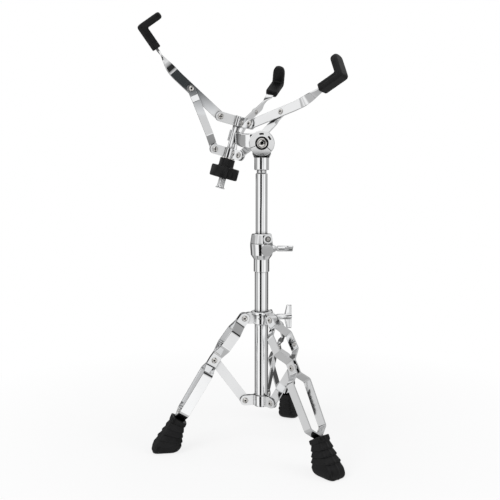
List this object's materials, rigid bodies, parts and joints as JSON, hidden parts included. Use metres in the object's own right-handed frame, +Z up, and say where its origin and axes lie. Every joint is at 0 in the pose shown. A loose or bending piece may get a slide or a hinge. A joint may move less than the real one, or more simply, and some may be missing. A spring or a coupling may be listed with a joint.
{
  "type": "snare drum stand",
  "caption": "Folding double-braced tripod stand with a telescoping tube, friction tilter and a knob-tightened basket of hooked rubber-tipped arms that grips a snare drum.",
  "frame": {"origin": "on the floor, below the axis of the tubes and at the centre of the tripod", "axes": "+Z up along the tubes, +X to the right in the picture, +Y away from the camera"},
  "size_m": [0.3747, 0.4533, 0.8118],
  "materials": {
    "chrome_plate": "polished",
    "plated_fasteners": "bright",
    "black_rubber": "matte",
    "black_plastic": "satin",
    "black_nylon": "matte"
  },
  "bodies": {
    "base": {"lower_tube": "chrome_plate", "spider_strap_front": "chrome_plate", "spider_strap_right": "chrome_plate", "spider_strap_back": "chrome_plate", "spider_rivets": "plated_fasteners", "height_clamp": "chrome_plate", "clamp_bushing": "black_nylon"},
    "leg_collar": {"leg_collar": "chrome_plate", "leg_collar_rivets": "plated_fasteners"},
    "leg_wing_bolt": {"leg_wing_bolt": "chrome_plate"},
    "height_wing_bolt": {"height_wing_bolt": "chrome_plate"},
    "memory_lock": {"memory_lock": "chrome_plate", "memory_lock_screw": "plated_fasteners"},
    "upper_post": {"upper_tube": "chrome_plate", "tilter_socket": "chrome_plate", "tilter_bolt": "plated_fasteners", "tilter_nut": "plated_fasteners", "hub_washer": "black_nylon", "friction_washer": "black_nylon"},
    "basket": {"tilter_bracket": "chrome_plate", "basket_post": "chrome_plate", "collar_strap_front": "chrome_plate", "collar_strap_right": "chrome_plate", "collar_strap_back": "chrome_plate", "collar_screws": "plated_fasteners"},
    "yoke": {"yoke_strap_front": "chrome_plate", "yoke_strap_right": "chrome_plate", "yoke_strap_back": "chrome_plate", "yoke_bushing": "black_nylon", "yoke_washer": "plated_fasteners", "yoke_screws": "plated_fasteners"},
    "knob": {"tension_knob": "black_plastic"},
    "left_leg": {"left_leg_strip_a": "chrome_plate", "left_leg_strip_b": "chrome_plate", "left_knee_rivet": "plated_fasteners", "left_boot": "black_rubber"},
    "left_brace": {"left_brace": "chrome_plate"},
    "left_arm": {"left_arm": "chrome_plate", "left_grip": "black_rubber", "left_strut_rivet": "plated_fasteners"},
    "left_strut": {"left_strut": "chrome_plate"},
    "right_leg": {"right_leg_strip_a": "chrome_plate", "right_leg_strip_b": "chrome_plate", "right_knee_rivet": "plated_fasteners", "right_boot": "black_rubber"},
    "right_brace": {"right_brace": "chrome_plate"},
    "right_arm": {"right_arm": "chrome_plate", "right_grip": "black_rubber", "right_strut_rivet": "plated_fasteners"},
    "right_strut": {"right_strut": "chrome_plate"},
    "rear_leg": {"rear_leg_strip_a": "chrome_plate", "rear_leg_strip_b": "chrome_plate", "rear_knee_rivet": "plated_fasteners", "rear_boot": "black_rubber"},
    "rear_brace": {"rear_brace": "chrome_plate"},
    "rear_arm": {"rear_arm": "chrome_plate", "rear_grip": "black_rubber", "rear_strut_rivet": "plated_fasteners"},
    "rear_strut": {"rear_strut": "chrome_plate"}
  },
  "joints": [
    {"name": "leg_collar_slide", "type": "slide", "parent": "base", "child": "leg_collar", "axis": [0, 0, 1], "range_m": [0, 0.03444]},
    {"name": "leg_wing_turn", "type": "hinge", "parent": "leg_collar", "child": "leg_wing_bolt", "pos_m": [0.0242, 0.00383, 0.2495], "axis": [0.9877, 0.1564, 0], "range_deg": [0, 720]},
    {"name": "height_wing_turn", "type": "hinge", "parent": "base", "child": "height_wing_bolt", "pos_m": [0.024, -0.0135, 0.381], "axis": [1, 0, 0], "range_deg": [0, 720]},
    {"name": "height_slide", "type": "slide", "parent": "base", "child": "memory_lock", "axis": [0, 0, 1], "range_m": [0, 0.11]},
    {"name": "upper_swivel", "type": "hinge", "parent": "memory_lock", "child": "upper_post", "pos_m": [0, 0, 0.4075], "axis": [0, 0, 1], "continuous": true},
    {"name": "tilter_tilt", "type": "hinge", "parent": "upper_post", "child": "basket", "pos_m": [0, 0, 0.5734], "axis": [0, 1, 0], "range_deg": [-20, 40]},
    {"name": "yoke_slide", "type": "slide", "parent": "basket", "child": "yoke", "axis": [0.2656, 0, 0.9641], "range_m": [-0.0055, 0.008]},
    {"name": "knob_turn", "type": "hinge", "parent": "yoke", "child": "knob", "pos_m": [-0.06411, 0.0656, 0.54635], "axis": [0.2656, 0, 0.9641], "range_deg": [-795, 1155]},
    {"name": "left_leg_fold", "type": "hinge", "parent": "leg_collar", "child": "left_leg", "pos_m": [-0.03259, -0.00516, 0.2495], "axis": [0.1564, -0.9877, 0], "range_deg": [-0.05, 26.1]},
    {"name": "left_brace_fold", "type": "hinge", "parent": "base", "child": "left_brace", "pos_m": [-0.03111, -0.00493, 0.091], "axis": [0.1564, -0.9877, 0], "range_deg": [-25.52, 0.05]},
    {"name": "left_arm_swing", "type": "hinge", "parent": "basket", "child": "left_arm", "pos_m": [-0.07816, 0.05628, 0.6263], "axis": [-0.2495, 0.9659, 0.0687], "range_deg": [-7.62, 11.07]},
    {"name": "left_strut_swing", "type": "hinge", "parent": "yoke", "child": "left_strut", "pos_m": [-0.08904, 0.05783, 0.56499], "axis": [-0.2495, 0.9659, 0.0687], "range_deg": [-2.71, 3.91]},
    {"name": "right_leg_fold", "type": "hinge", "parent": "leg_collar", "child": "right_leg", "pos_m": [0.02077, -0.02565, 0.2495], "axis": [0.7771, 0.6293, 0], "range_deg": [-0.05, 26.1]},
    {"name": "right_brace_fold", "type": "hinge", "parent": "base", "child": "right_brace", "pos_m": [0.01982, -0.02448, 0.091], "axis": [0.7771, 0.6293, 0], "range_deg": [-25.52, 0.05]},
    {"name": "right_arm_swing", "type": "hinge", "parent": "basket", "child": "right_arm", "pos_m": [-0.02009, 0.04014, 0.61031], "axis": [-0.6817, -0.7071, 0.1878], "range_deg": [-7.62, 11.07]},
    {"name": "right_strut_swing", "type": "hinge", "parent": "yoke", "child": "right_strut", "pos_m": [-0.04065, 0.04439, 0.55166], "axis": [-0.6817, -0.7071, 0.1878], "range_deg": [-2.71, 3.91]},
    {"name": "rear_leg_fold", "type": "hinge", "parent": "leg_collar", "child": "rear_leg", "pos_m": [0.01183, 0.03081, 0.2495], "axis": [-0.9336, 0.3584, 0], "range_deg": [-0.05, 26.1]},
    {"name": "rear_brace_fold", "type": "hinge", "parent": "base", "child": "rear_brace", "pos_m": [0.01129, 0.02941, 0.091], "axis": [-0.9336, 0.3584, 0], "range_deg": [-25.52, 0.05]},
    {"name": "rear_arm_swing", "type": "hinge", "parent": "basket", "child": "rear_arm", "pos_m": [-0.03565, 0.10037, 0.6146], "axis": [0.9312, -0.2588, -0.2565], "range_deg": [-7.62, 11.07]},
    {"name": "rear_strut_swing", "type": "hinge", "parent": "yoke", "child": "rear_strut", "pos_m": [-0.05361, 0.09458, 0.55523], "axis": [0.9312, -0.2588, -0.2565], "range_deg": [-2.71, 3.91]}
  ],
  "couplings": [
    {"joint": "knob_turn", "follows": "yoke_slide", "rad_per_m": 2513.3},
    {"joint": "left_leg_fold", "follows": "leg_collar_slide", "rad_per_m": 13.202},
    {"joint": "left_brace_fold", "follows": "leg_collar_slide", "rad_per_m": -12.909},
    {"joint": "left_arm_swing", "follows": "yoke_slide", "rad_per_m": 24.035},
    {"joint": "left_strut_swing", "follows": "yoke_slide", "rad_per_m": 8.4299},
    {"joint": "right_leg_fold", "follows": "leg_collar_slide", "rad_per_m": 13.202},
    {"joint": "right_brace_fold", "follows": "leg_collar_slide", "rad_per_m": -12.909},
    {"joint": "right_arm_swing", "follows": "yoke_slide", "rad_per_m": 24.035},
    {"joint": "right_strut_swing", "follows": "yoke_slide", "rad_per_m": 8.4299},
    {"joint": "rear_leg_fold", "follows": "leg_collar_slide", "rad_per_m": 13.202},
    {"joint": "rear_brace_fold", "follows": "leg_collar_slide", "rad_per_m": -12.909},
    {"joint": "rear_arm_swing", "follows": "yoke_slide", "rad_per_m": 24.035},
    {"joint": "rear_strut_swing", "follows": "yoke_slide", "rad_per_m": 8.4299}
  ]
}
